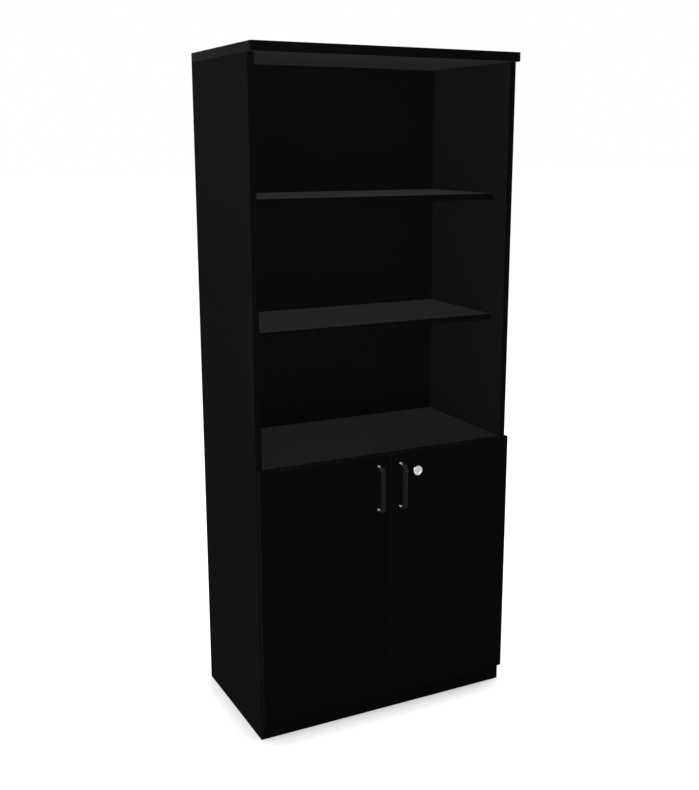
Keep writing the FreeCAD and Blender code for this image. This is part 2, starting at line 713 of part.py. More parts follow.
def hinge_plate(height):
    """Mounting plate: a winged base on the side and a rail for the arm."""
    y = FRONT_Y + PLATE_SETBACK
    wing = box(-INNER_X, -INNER_X + PLATE_T, y - PLATE_W / 2, y + PLATE_W / 2,
               height - PLATE_L / 2, height + PLATE_L / 2)
    wing = rounded(wing, PLATE_W * WING_ROUND_SHARE, runs_along_x)
    rail = box(-INNER_X, -INNER_X + ARM_HEIGHT - ARM_SHEET - RAIL_PLAY, FRONT_Y + RAIL_FRONT,
               FRONT_Y + RAIL_REAR, height - RAIL_W / 2, height + RAIL_W / 2)
    holes = [rod(PLATE_SCREW_D + 2 * SCREW_FIT, PLATE_T + 2 * OVER, place - ALONG_X * OVER, ALONG_X)
             for place in plate_screw_places(height)]
    return wing.fuse(rail).removeSplitter().cut(holes + arm_screw_holes(height))


def plate_screws(height):
    """Screws of one mounting plate."""
    return [screw(PLATE_SCREW_HEAD_D, PLATE_SCREW_HEAD_H, PLATE_SCREW_D, PLATE_SCREW_L,
                  place + ALONG_X * PLATE_T, -ALONG_X) for place in plate_screw_places(height)]


def door_buffers():
    """Rubber domes on the rear of the left door, where it meets the fixed shelf and the bottom."""
    x = -DOOR_INNER_X - BUFFER_INSET
    rise = DOOR_GAP - BUFFER_PLAY
    heights = (PLINTH_H + BOTTOM_T / 2, FIXED_SHELF_TOP - FIXED_SHELF_T / 2)
    domes = []
    for foot in (Vector(x, DOOR_REAR_Y, z) for z in heights):
        disc = rod(BUFFER_D, rise, foot, ALONG_Y)
        domes.append(end_rounded(disc, rise * BUFFER_ROUND_SHARE, foot + ALONG_Y * rise))
    return group(domes)


# Lock
def lock_point(y):
    """Point on the lock's axis."""
    return Vector(LOCK_X, y, LOCK_Z)


def lock_body():
    """Rosette on the door's face and barrel through the door, bored for the cylinder."""
    face_y = DOOR_FACE_Y - ROSETTE_H
    rosette = rod(ROSETTE_D, ROSETTE_H, lock_point(face_y), ALONG_Y)
    rosette = rounded(rosette, ROSETTE_ROUND, lambda edge: lies_at_y(edge, face_y))
    dish = Part.makeCone(ROSETTE_DISH_D / 2 + OVER, ROSETTE_DISH_D / 2 - ROSETTE_DISH, ROSETTE_DISH + OVER,
                         lock_point(face_y - OVER), ALONG_Y)
    barrel = rod(BARREL_D, BARREL_END_Y - DOOR_FACE_Y, lock_point(DOOR_FACE_Y), ALONG_Y)
    bore = rod(CYLINDER_D + 2 * CYLINDER_FIT, BARREL_END_Y - face_y + 2 * OVER, lock_point(face_y - OVER),
               ALONG_Y)
    return rosette.fuse(barrel).removeSplitter().cut([dish, bore])


def lock_nut():
    """Hexagon nut that clamps the lock to the door."""
    radius = NUT_ACROSS_FLATS / 2 / math.cos(math.pi / 6)
    corners = [Vector(radius * math.cos(step * math.pi / 3), 0, radius * math.sin(step * math.pi / 3))
               for step in range(7)]
    nut = Part.Face(Part.makePolygon([lock_point(DOOR_REAR_Y) + corner for corner in corners]))
    bore = rod(BARREL_D + 2 * BARREL_FIT, NUT_T + 2 * OVER, lock_point(DOOR_REAR_Y - OVER), ALONG_Y)
    blank = rod(2 * (radius + NUT_CHAMFER), NUT_T, lock_point(DOOR_REAR_Y), ALONG_Y)
    rim = [edge for edge in blank.Edges if lies_at_y(edge, NUT_REAR_Y)]
    return nut.extrude(ALONG_Y * NUT_T).common(blank.makeChamfer(2 * NUT_CHAMFER, rim)).cut(bore)


def lock_cylinder():
    """Turning core with the keyhole in front and a square drive for the cam behind."""
    face_y = DOOR_FACE_Y - ROSETTE_H + ROSETTE_DISH
    core = rod(CYLINDER_D, CAM_FRONT_Y - face_y, lock_point(face_y), ALONG_Y)
    half = DRIVE_SIDE / 2
    drive = box(LOCK_X - half, LOCK_X + half, CAM_FRONT_Y, CAM_REAR_Y, LOCK_Z - half, LOCK_Z + half)
    keyhole = box(LOCK_X - KEYHOLE_W / 2, LOCK_X + KEYHOLE_W / 2, face_y - OVER, face_y + KEYHOLE_DEPTH,
                  LOCK_Z - KEYHOLE_H / 2, LOCK_Z + KEYHOLE_H / 2)
    depth = CAM_SCREW_L + SCREW_END_PLAY
    tap = rod(CAM_SCREW_D + 2 * SCREW_FIT, depth + OVER, lock_point(CAM_REAR_Y + OVER), -ALONG_Y)
    return core.fuse(drive).removeSplitter().cut([keyhole, tap])


def lock_cam():
    """Flat cam with a rounded tip, pointing sideways while the lock is open."""
    half = CAM_W / 2
    hub = rod(CAM_W, CAM_T, lock_point(CAM_FRONT_Y), ALONG_Y)
    tip_x = LOCK_X - CAM_REACH + half
    tongue = box(tip_x, LOCK_X, CAM_FRONT_Y, CAM_REAR_Y, LOCK_Z - half, LOCK_Z + half)
    tip = rod(CAM_W, CAM_T, Vector(tip_x, CAM_FRONT_Y, LOCK_Z), ALONG_Y)
    side = DRIVE_SIDE / 2 + DRIVE_FIT
    drive = box(LOCK_X - side, LOCK_X + side, CAM_FRONT_Y - OVER, CAM_REAR_Y + OVER,
                LOCK_Z - side, LOCK_Z + side)
    return hub.fuse([tongue, tip]).removeSplitter().cut(drive)


def lock_cam_screw():
    """Screw that holds the cam on the cylinder."""
    return screw(CAM_SCREW_HEAD_D, CAM_SCREW_HEAD_H, CAM_SCREW_D, CAM_SCREW_L, lock_point(CAM_REAR_Y),
                 -ALONG_Y)


def keeper_screw_places():
    """Where the keeper's screws enter the fixed shelf from below."""
    y = CAM_FRONT_Y - KEEPER_PLAY - KEEPER_T + KEEPER_LEG / 2
    half = KEEPER_SCREW_CENTRES / 2
    return [Vector(LOCK_X + shift, y, FIXED_SHELF_LOW) for shift in (-half, half)]


def keeper_screw_holes():
    """Blind holes in the fixed shelf for the keeper."""
    depth = KEEPER_SCREW_L - KEEPER_T + SCREW_END_PLAY
    return [rod(KEEPER_SCREW_D + 2 * SCREW_FIT, depth + OVER, place - ALONG_Z * OVER, ALONG_Z)
            for place in keeper_screw_places()]


def is_keeper_corner(edge, leg_end_y, lip_end_z):
    """True for the short edges at the free ends of the keeper's leg and lip."""
    middle = edge.CenterOfMass
    upright = not math.isclose(edge.Vertexes[0].Z, edge.Vertexes[-1].Z)
    at_leg_end = upright and math.isclose(middle.y, leg_end_y)
    at_lip_end = runs_along_y(edge) and math.isclose(middle.z, lip_end_z)
    return at_leg_end or at_lip_end


def lock_keeper():
    """Angle under the fixed shelf that the cam turns up behind."""
    front_y = CAM_FRONT_Y - KEEPER_PLAY - KEEPER_T
    half = KEEPER_W / 2
    leg = box(LOCK_X - half, LOCK_X + half, front_y, front_y + KEEPER_LEG,
              FIXED_SHELF_LOW - KEEPER_T, FIXED_SHELF_LOW)
    lip = box(LOCK_X - half, LOCK_X + half, front_y, front_y + KEEPER_T,
              FIXED_SHELF_LOW - KEEPER_DROP, FIXED_SHELF_LOW)
    holes = [rod(KEEPER_SCREW_D + 2 * SCREW_FIT, KEEPER_T + 2 * OVER, place - ALONG_Z * (KEEPER_T + OVER),
                 ALONG_Z) for place in keeper_screw_places()]
    bend = Vector(LOCK_X, front_y, FIXED_SHELF_LOW)
    inner_bend = bend + (ALONG_Y - ALONG_Z) * KEEPER_T
    angle = end_rounded(leg.fuse(lip).removeSplitter(), KEEPER_BEND_R, bend)
    angle = end_rounded(angle, KEEPER_BEND_R - KEEPER_T, inner_bend)
    leg_end_y, lip_end_z = front_y + KEEPER_LEG, FIXED_SHELF_LOW - KEEPER_DROP
    angle = rounded(angle, KEEPER_CORNER_R, lambda edge: is_keeper_corner(edge, leg_end_y, lip_end_z))
    return angle.cut(holes)


def keeper_screws():
    """Screws of the keeper."""
    return group([screw(KEEPER_SCREW_HEAD_D, KEEPER_SCREW_HEAD_H, KEEPER_SCREW_D, KEEPER_SCREW_L,
                        place - ALONG_Z * KEEPER_T, ALONG_Z) for place in keeper_screw_places()])


def carcass_nodes():
    """Panels, bands, dowels and shelf pins."""
    left_side = side_panel()
    nodes = {
        "left_side": left_side, "right_side": mirrored(left_side), "top_panel": top_panel(),
        "bottom_panel": bottom_panel(), "fixed_shelf": fixed_shelf(), "plinth": plinth(),
        "back_panel": back_panel(), "top_edge_band": top_edge_band(),
        "carcass_edge_bands": carcass_edge_bands(), "shelf_edge_bands": shelf_edge_bands(),
        "carcass_dowels": carcass_dowels(), "shelf_pins": shelf_pins(),
    }
    for name, top_z in SHELF_TOPS.items():
        nodes[name] = adjustable_shelf(top_z)
    return nodes


def hinge_nodes():
    """Plates, arms, links and cups of the four hinges, with their rivets and screws."""
    nodes = {}
    makers = {"plate": hinge_plate, "arm": hinge_arm, "link": hinge_link, "cup": hinge_cup}
    for level, height in HINGE_HEIGHTS.items():
        for piece, make in makers.items():
            left = make(height)
            nodes[f"left_{level}_hinge_{piece}"] = left
            nodes[f"right_{level}_hinge_{piece}"] = mirrored(left)
    heights = HINGE_HEIGHTS.values()
    rivets = [arm_rivet(height) for height in heights]
    nodes["hinge_arm_rivets"] = group(rivets + [mirrored(rivet) for rivet in rivets])
    for name, make in (("plate", plate_screws), ("arm", arm_screws)):
        screws = [item for height in heights for item in make(height)]
        nodes[f"hinge_{name}_screws"] = group(screws + [mirrored(item) for item in screws])
    return nodes


def door_nodes():
    """Doors with what is fixed to them."""
    heights = HINGE_HEIGHTS.values()
    left = {
        "door": door_panel(), "door_edge_band": door_band(), "handle": handle(),
        "handle_screws": handle_screws(), "door_buffers": door_buffers(),
        "cup_rivets": group([cup_rivet(height) for height in heights]),
        "cup_screws": group([item for height in heights for item in cup_screws(height)]),
    }
    nodes = {}
    for name, shape in left.items():
        nodes[f"left_{name}"] = shape
        nodes[f"right_{name}"] = mirrored(shape)
    nodes["right_door"] = nodes["right_door"].cut(lock_bore())
    return nodes


def lock_nodes():
    """Cam lock of the right door and its keeper."""
    return {
        "lock_body": lock_body(), "lock_nut": lock_nut(), "lock_cylinder": lock_cylinder(),
        "lock_cam": lock_cam(), "lock_cam_screw": lock_cam_screw(), "lock_keeper": lock_keeper(),
        "keeper_screws": keeper_screws(),
    }


def main():
    """Builds every piece and writes one file for each."""
    os.makedirs("parts", exist_ok=True)
    for make in (carcass_nodes, hinge_nodes, door_nodes, lock_nodes):
        for name, shape in make().items():
            shape.exportStep(f"parts/{name}.step")
            print(name, len(shape.Solids), round(shape.Volume), shape.isValid())


main()
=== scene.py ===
"""Looks of a black bookcase with two cabinet doors.

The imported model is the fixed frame. Boards, bands and hinge pieces keep their own meshes and
get their finishes here. Handles, lock, screws, buffers and dowels are modelled again, finer,
where the frame has them. Everything is in metres, +Z is up and the doors face -Y.
"""

import logging
import math
from abc import ABC, abstractmethod
from collections.abc import Iterable, Sequence
from dataclasses import dataclass
from enum import Enum

import bmesh
import bpy
from mathutils import Matrix, Vector


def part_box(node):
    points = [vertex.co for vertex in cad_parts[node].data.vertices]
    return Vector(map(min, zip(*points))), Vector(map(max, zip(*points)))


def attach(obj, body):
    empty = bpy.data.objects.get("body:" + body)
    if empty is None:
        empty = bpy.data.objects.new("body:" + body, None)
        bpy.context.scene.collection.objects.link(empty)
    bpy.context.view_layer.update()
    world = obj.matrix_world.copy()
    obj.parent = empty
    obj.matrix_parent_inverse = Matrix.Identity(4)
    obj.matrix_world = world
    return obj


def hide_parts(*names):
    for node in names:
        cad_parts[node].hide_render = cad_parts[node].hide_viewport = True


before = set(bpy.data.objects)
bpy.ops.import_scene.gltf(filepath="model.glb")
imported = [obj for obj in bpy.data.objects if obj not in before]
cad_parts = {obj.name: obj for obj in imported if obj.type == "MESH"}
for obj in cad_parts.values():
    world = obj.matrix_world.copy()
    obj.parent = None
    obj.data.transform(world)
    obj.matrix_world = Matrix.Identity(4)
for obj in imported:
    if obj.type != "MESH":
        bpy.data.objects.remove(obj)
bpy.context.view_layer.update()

LOG = logging.getLogger("bookcase")

Colour = tuple[float, float, float]
Point = tuple[float, float, float]
Box = tuple[Vector, Vector]
Profile = Sequence[tuple[float, float]]
Edges = list[bmesh.types.BMEdge]
Pieces = list[bpy.types.Object]

MERGE_DISTANCE = 1e-6
SMOOTH_ANGLE = math.radians(35)
QUARTER_TURN = math.pi / 2
UP = Vector((0, 0, 1))
TO_RIGHT: Point = (1, 0, 0)
TO_LEFT: Point = (-1, 0, 0)
TO_FRONT: Point = (0, -1, 0)
TO_REAR: Point = (0, 1, 0)
TO_FLOOR: Point = (0, 0, -1)

CARCASS = "carcass"


class Hand(Enum):
    """Side of the bookcase, seen from the front."""

    LEFT = "left"
    RIGHT = "right"

    @property
    def door(self) -> str:
        """Name of this side's door, which is a node and a body."""
        return f"{self.value}_door"

    @property
    def bow_handle(self) -> str:
        """Name of the handle's piece on this side's door."""
        return f"{self.value}_bow_handle"


DOORS = tuple(hand.door for hand in Hand)
BOW_HANDLES = tuple(hand.bow_handle for hand in Hand)


class Level(Enum):
    """Height of a hinge on its door."""

    UPPER = "upper"
    LOWER = "lower"


class Drive(Enum):
    """Recess in a screw's head."""

    CROSS = "cross"
    SLOT = "slot"


class Recipe:
    """Node tree of one material in the making."""

    def __init__(self, name: str) -> None:
        """Starts an empty material.

        Args:
            name: name of the material.
        """
        self.material = bpy.data.materials.new(name)
        self.material.use_nodes = True
        self.tree = self.material.node_tree
        self.tree.nodes.clear()

    def add(self, kind: str, inputs: dict[str, object] | None = None,
            **settings: object) -> bpy.types.Node:
        """Adds a node.

        Args:
            kind: Blender's name of the node type.
            inputs: values of its sockets, by the socket's name.
            settings: values of its own properties.

        Returns:
            The new node.
        """
        node = self.tree.nodes.new(kind)
        for key, value in settings.items():
            setattr(node, key, value)
        for key, value in (inputs or {}).items():
            node.inputs[key].default_value = value
        return node

    def wire(self, source: bpy.types.Node, output: str, target: bpy.types.Node,
             socket: str | int) -> None:
        """Links an output of one node to a socket of another."""
        self.tree.links.new(source.outputs[output], target.inputs[socket])

    def noise(self, scale: float, detail: float,
              stretch: Point | None = None) -> bpy.types.Node:
        """Adds a noise that is fixed to the piece.

        Args:
            scale: how many of its grains fit in a metre, before any stretch.
            detail: number of its finer layers.
            stretch: scale along each axis, or None where the grains are round.

        Returns:
            The noise node.
        """
        grains = self.add("ShaderNodeTexNoise", {"Scale": scale, "Detail": detail})
        coords = self.add("ShaderNodeTexCoord")
        if stretch is None:
            self.wire(coords, "Object", grains, "Vector")
            return grains
        stretched = self.add("ShaderNodeMapping", {"Scale": stretch})
        self.wire(coords, "Object", stretched, "Vector")
        self.wire(stretched, "Vector", grains, "Vector")
        return grains

    def tint(self, shader: bpy.types.Node, pattern: bpy.types.Node, first: Colour,
             second: Colour) -> None:
        """Lets a pattern run the colour between two tones.

        Args:
            shader: shader that gets the colour.
            pattern: noise that mixes the tones.
            first: tone where the noise is low.
            second: tone where the noise is high.
        """
        tones = self.add("ShaderNodeMix", data_type="RGBA")
        tones.inputs["A"].default_value = (*first, 1)
        tones.inputs["B"].default_value = (*second, 1)
        self.wire(pattern, "Fac", tones, "Factor")
        self.wire(tones, "Result", shader, "Base Color")

    def texture(self, shader: bpy.types.Node, pattern: bpy.types.Node, roughness: float,
                spread: float, height: float) -> None:
        """Lets a pattern move the roughness and raise the surface.

        Args:
            shader: shader that gets them.
            pattern: noise that gives them.
            roughness: mean roughness.
            spread: how far the noise moves it.
            height: height of the relief.
        """
        level = self.add("ShaderNodeMapRange", {
            "To Min": roughness - spread,
            "To Max": roughness + spread,
        })
        relief = self.add("ShaderNodeBump", {"Distance": height})
        self.wire(pattern, "Fac", level, "Value")
        self.wire(level, "Result", shader, "Roughness")
        self.wire(pattern, "Fac", relief, "Height")
        self.wire(relief, "Normal", shader, "Normal")

    def surface(self, shader: bpy.types.Node, output: str = "BSDF") -> bpy.types.Material:
        """Makes a shader the material's surface.

        Args:
            shader: the shader's node.
            output: name of the node's output.

        Returns:
            The finished material.
        """
        end = self.add("ShaderNodeOutputMaterial")
        self.wire(shader, output, end, "Surface")
        return self.material


class Finish(ABC):
    """Finish of a surface, which makes its own material."""

    @abstractmethod
    def material(self) -> bpy.types.Material:
        """Makes the material."""


@dataclass(frozen=True)
class SatinFinish(Finish):
    """Even satin skin: a faint cloudiness in the colour and a fine stipple in the surface.

    Attributes:
        name: name of the material.
        colour, cloud_colour: the two tones that the cloudiness runs between.
        cloud_size, grain_size: size of the clouds and of the stipple.
        grain_height: height of the stipple.
        roughness, roughness_spread: mean roughness and how far the stipple moves it.
        gloss: specular level of the shader.
        haze, haze_roughness: light veil that shows at a flat angle.
        cloud_detail, grain_detail: finer layers of the clouds and of the stipple.
    """

    name: str
    colour: Colour
    cloud_colour: Colour
    cloud_size: float
    grain_size: float = 0.0009
    grain_height: float = 0.00003
    roughness: float = 0.5
    roughness_spread: float = 0.06
    gloss: float = 0.0006
    haze: float = 0.0
    haze_roughness: float = 0.4
    cloud_detail: float = 4.0
    grain_detail: float = 2.0

    def material(self) -> bpy.types.Material:
        """Makes the material.

        Returns:
            The satin material.
        """
        recipe = Recipe(self.name)
        shader = recipe.add("ShaderNodeBsdfPrincipled", {
            "Specular IOR Level": self.gloss,
            "Sheen Weight": self.haze,
            "Sheen Roughness": self.haze_roughness,
        })
        clouds = recipe.noise(1 / self.cloud_size, self.cloud_detail)
        grain = recipe.noise(1 / self.grain_size, self.grain_detail)
        recipe.tint(shader, clouds, self.colour, self.cloud_colour)
        recipe.texture(shader, grain, self.roughness, self.roughness_spread, self.grain_height)
        return recipe.surface(shader)


@dataclass(frozen=True)
class PlatedFinish(Finish):
    """Plated metal with fine tumbled scratches.

    Attributes:
        name: name of the material.
        colour, dull_colour: bright and dull tone of the plating.
        scratch_size: length and width of the scratches.
        scratch_height: depth of the scratches.
        roughness, roughness_spread: mean roughness and how far it wanders.
        scratch_detail: finer layers of the scratches.
    """

    name: str
    colour: Colour
    dull_colour: Colour
    scratch_size: tuple[float, float]
    scratch_height: float
    roughness: float
    roughness_spread: float
    scratch_detail: float = 3.0

    def material(self) -> bpy.types.Material:
        """Makes the material.

        Returns:
            The plated material.
        """
        recipe = Recipe(self.name)
        shader = recipe.add("ShaderNodeBsdfPrincipled", {"Metallic": 1.0})
        length, width = self.scratch_size
        stretch = (1 / width, 1 / width, 1 / length)
        scratches = recipe.noise(1.0, self.scratch_detail, stretch)
        recipe.tint(shader, scratches, self.colour, self.dull_colour)
        recipe.texture(shader, scratches, self.roughness, self.roughness_spread,
                       self.scratch_height)
        return recipe.surface(shader)


@dataclass(frozen=True)
class TimberFinish(Finish):
    """Plain hardwood with fibres along X.

    Attributes:
        name: name of the material.
        colour, fibre_colour: pale wood and its darker fibres.
        fibre_size: length and width of a fibre.
        roughness: roughness of the sanded wood.
        fibre_detail: finer layers of the fibres.
    """

    name: str
    colour: Colour
    fibre_colour: Colour
    fibre_size: tuple[float, float]
    roughness: float
    fibre_detail: float = 5.0

    def material(self) -> bpy.types.Material:
        """Makes the material.

        Returns:
            The wooden material.
        """
        recipe = Recipe(self.name)
        shader = recipe.add("ShaderNodeBsdfPrincipled", {"Roughness": self.roughness})
        length, width = self.fibre_size
        stretch = (1 / length, 1 / width, 1 / width)
        fibres = recipe.noise(1.0, self.fibre_detail, stretch)
        recipe.tint(shader, fibres, self.colour, self.fibre_colour)
        return recipe.surface(shader)


@dataclass(frozen=True)
class Cover:
    """Finish of a kind of piece, with the record's slot that it belongs to."""

    slot: str
    finish: Finish


class Skin(Enum):
    """What the pieces are covered with, by role. The board skins are copies of one black
    melamine, and the two band skins are copies of one black edge band. Their base tones are set
    lighter or darker by how light falls on each part, which is painted light and shade.
    """

    # Painted light: the sides' melamine is toned lighter than the fronts, so their inner faces
    # read brighter inside the open shelves.
    SIDE = Cover("board_melamine", SatinFinish(
        "melamine_side_painted_lighter", (0.0043, 0.0043, 0.0046), (0.0052, 0.0052, 0.0056),
        cloud_size=0.35, gloss=0.0001, haze=0.001))
    # Painted light: the top, shelves and bottom are toned lighter than the other boards, standing
    # in for the light that their flat faces catch.
    SHELF = Cover("board_melamine", SatinFinish(
        "melamine_shelf_painted_lighter", (0.0053, 0.0053, 0.0057), (0.0064, 0.0064, 0.0069),
        cloud_size=0.3, haze=0.0218, haze_roughness=0.42))
    # Painted shade: the doors' and plinth's melamine is toned darker than the other boards.
    FRONT = Cover("board_melamine", SatinFinish(
        "melamine_front_painted_darker", (0.0014, 0.0014, 0.0017), (0.0018, 0.0018, 0.0022),
        cloud_size=0.35, haze=0.016))
    # Painted shade: the top, carcass and shelf bands are toned darker than the door bands.
    BAND = Cover("edge_band", SatinFinish(
        "edge_band_painted_darker", (0.0014, 0.0014, 0.0016), (0.0019, 0.0019, 0.0022),
        cloud_size=0.2, grain_size=0.0005, grain_height=0.00001,
        roughness=0.42, roughness_spread=0.05, gloss=0.001, haze=0.018))
    # Painted light: the door bands are toned lighter than the other bands, with almost no veil,
    # to set how the door edges and the gap between the doors read.
    DOOR_BAND = Cover("edge_band", SatinFinish(
        "door_band_painted_lighter", (0.0028, 0.0028, 0.0031), (0.0034, 0.0034, 0.0038),
        cloud_size=0.2, grain_size=0.0005, grain_height=0.00001,
        roughness=0.42, roughness_spread=0.05, gloss=0.0003, haze=0.002))
    # Painted light: the back board is toned lighter than the fronts, standing in for light that
    # the cabinet's own shade takes away inside the open shelves.
    BACK = Cover("back_board", SatinFinish(
        "back_board_painted_lighter", (0.0023, 0.0022, 0.0026), (0.0027, 0.0026, 0.0031),
        cloud_size=0.3, roughness=0.55, haze=0.024))
    HANDLE = Cover("handle_metal", SatinFinish(
        "black_handle_lacquer", (0.0030, 0.0030, 0.0033), (0.0038, 0.0038, 0.0041),
        cloud_size=0.03, grain_size=0.0004, grain_height=0.000003,
        roughness=0.25, roughness_spread=0.04, gloss=0.045))
    LOCK = Cover("lock_nickel", PlatedFinish(
        "satin_nickel", (0.56, 0.56, 0.555), (0.40, 0.40, 0.395),
        scratch_size=(0.0026, 0.0022), scratch_height=0.000002,
        roughness=0.42, roughness_spread=0.06))
    PIN = Cover("hardware_steel", SatinFinish(
        "blackened_steel", (0.0040, 0.0040, 0.0044), (0.0052, 0.0052, 0.0057),
        cloud_size=0.004, grain_size=0.0004, grain_height=0.000003, haze=0.002))
    STEEL = Cover("hardware_steel", PlatedFinish(
        "zinc_plated_steel", (0.50, 0.50, 0.51), (0.37, 0.37, 0.38),
        scratch_size=(0.006, 0.0008), scratch_height=0.000003,
        roughness=0.32, roughness_spread=0.08))
    DOWEL = Cover("dowel_wood", TimberFinish(
        "beech", (0.55, 0.36, 0.20), (0.42, 0.25, 0.12),
        fibre_size=(0.012, 0.0007), roughness=0.7))
    RUBBER = Cover("buffer_rubber", SatinFinish(
        "grey_rubber", (0.045, 0.045, 0.047), (0.06, 0.06, 0.062),
        cloud_size=0.004, grain_size=0.0003, grain_height=0.000006,
        roughness=0.7, roughness_spread=0.05, gloss=0.3))


MATERIALS: dict[Skin, bpy.types.Material] = {skin: skin.value.finish.material() for skin in Skin}


class Form:
    """One mesh in the making."""

    def __init__(self) -> None:
        """Starts an empty mesh."""
        self.bm = bmesh.new()

    def loop(self, points: Iterable[Point]) -> Edges:
        """Adds a closed loop of edges through the points and returns its edges."""
        verts = [self.bm.verts.new(point) for point in points]
        return [self.bm.edges.new(pair) for pair in zip(verts, verts[1:] + verts[:1])]

    def turn(self, profile: Profile, steps: int) -> None:
        """Spins an open profile once round the Z axis.

        Args:
            profile: radius and height of each of its points.
            steps: number of steps of the full turn.
        """
        verts = [self.bm.verts.new((radius, 0, height)) for radius, height in profile]
        edges = [self.bm.edges.new(pair) for pair in zip(verts, verts[1:])]
        bmesh.ops.spin(self.bm, geom=verts + edges, cent=(0, 0, 0), axis=UP, dvec=(0, 0, 0),
                       angle=math.tau, steps=steps, use_merge=True, use_duplicate=False)

    def pull(self, edges: Edges, shift: Vector, scale: float = 1.0) -> Edges:
        """Extrudes a loop of edges.

        Args:
            edges: the loop.
            shift: how far the new loop moves.
            scale: size of the new loop, about its own middle.

        Returns:
            The edges of the new loop.
        """
        grown = bmesh.ops.extrude_edge_only(self.bm, edges=edges)["geom"]
        verts = [item for item in grown if isinstance(item, bmesh.types.BMVert)]
        middle = sum((vert.co for vert in verts), Vector()) / len(verts)
        bmesh.ops.scale(self.bm, vec=(scale,) * 3, space=Matrix.Translation(-middle), verts=verts)
        bmesh.ops.translate(self.bm, vec=shift, verts=verts)
        ring = set(verts)
        return [item for item in grown
                if isinstance(item, bmesh.types.BMEdge) and ring.issuperset(item.verts)]

    def bend(self, edges: Edges, centre: Vector, axis: Point, steps: int) -> Edges:
        """Sweeps a loop of edges a quarter turn round an axis.

        Args:
            edges: the loop.
            centre: point on the axis.
            axis: direction of the axis.
            steps: number of steps of the quarter turn.

        Returns:
            The edges of the last loop.
        """
        verts = list({vert for edge in edges for vert in edge.verts})
        swept = bmesh.ops.spin(self.bm, geom=verts + edges, cent=centre, axis=axis,
                               dvec=(0, 0, 0), angle=QUARTER_TURN, steps=steps,
                               use_merge=False, use_duplicate=False)
        return [item for item in swept["geom_last"] if isinstance(item, bmesh.types.BMEdge)]

    def cap(self, edges: Edges) -> None:
        """Closes a loop of edges with one face."""
        bmesh.ops.edgeloop_fill(self.bm, edges=edges)

    def stamp(self, other: "Form", place: Matrix) -> None:
        """Adds a copy of another form.

        Args:
            other: the form that is copied.
            place: where the copy goes and how it is turned.
        """
        mesh = bpy.data.meshes.new("stamp")
        other.bm.to_mesh(mesh)
        mesh.transform(place)
        self.bm.from_mesh(mesh)
        bpy.data.meshes.remove(mesh)

    def piece(self, name: str, body: str, skin: Skin, *nodes: str) -> bpy.types.Object:
        """Turns the form into a finished piece.

        Args:
            name: name of the piece.
            body: body of the frame that it rides on.
            skin: what covers it.
            nodes: nodes of the frame that it stands for.

        Returns:
            The new object.
        """
        bmesh.ops.remove_doubles(self.bm, verts=self.bm.verts, dist=MERGE_DISTANCE)
        bmesh.ops.recalc_face_normals(self.bm, faces=self.bm.faces)
        mesh = bpy.data.meshes.new(name)
        self.bm.to_mesh(mesh)
        self.bm.free()
        mesh.shade_smooth()
        mesh.set_sharp_from_angle(angle=SMOOTH_ANGLE)
        mesh.materials.append(MATERIALS[skin])
        made = bpy.data.objects.new(name, mesh)
        bpy.context.scene.collection.objects.link(made)
        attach(made, body)
        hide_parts(*nodes)
        return made


def solid_boxes(node: str) -> list[Box]:
    """Finds the boxes of the separate solids of a node.

    Args:
        node: name of the node.

    Returns:
        Lowest and highest corner of each solid.
    """
    form = bmesh.new()
    form.from_mesh(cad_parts[node].data)
    bmesh.ops.remove_doubles(form, verts=form.verts, dist=MERGE_DISTANCE)
    boxes, seen = [], set()
    for start in form.verts:
        if start in seen:
            continue
        seen.add(start)
        island, todo = [], [start]
        while todo:
            vert = todo.pop()
            island.append(vert.co.copy())
            near = {edge.other_vert(vert) for edge in vert.link_edges} - seen
            seen.update(near)
            todo.extend(near)
        spans = list(zip(*island))
        boxes.append((Vector(map(min, spans)), Vector(map(max, spans))))
    form.free()
    return boxes


def quarter_arc(steps: int) -> list[float]:
    """Angles from nothing to a quarter turn, in equal steps."""
    return [QUARTER_TURN * step / steps for step in range(steps + 1)]


def towards(direction: Vector, place: Vector) -> Matrix:
    """Place of a form whose local Z axis points along a direction."""
    return Matrix.Translation(place) @ UP.rotation_difference(direction).to_matrix().to_4x4()


def dress(skin: Skin, *names: str) -> Pieces:
    """Gives nodes of the frame their finish.

    Args:
        skin: what covers them.
        names: names of the nodes.

    Returns:
        The nodes' objects.
    """
    nodes = [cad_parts[name] for name in names]
    for node in nodes:
        node.material_slots[0].material = MATERIALS[skin]
    return nodes


class Assembly(ABC):
    """Sub-assembly of the bookcase."""

    @abstractmethod
    def build(self) -> Pieces:
        """Makes and dresses the pieces, and returns them."""


@dataclass(frozen=True)
class ScrewSize:
    """Height of a screw's head and diameter of its shank."""

    head_height: float
    shank_diameter: float


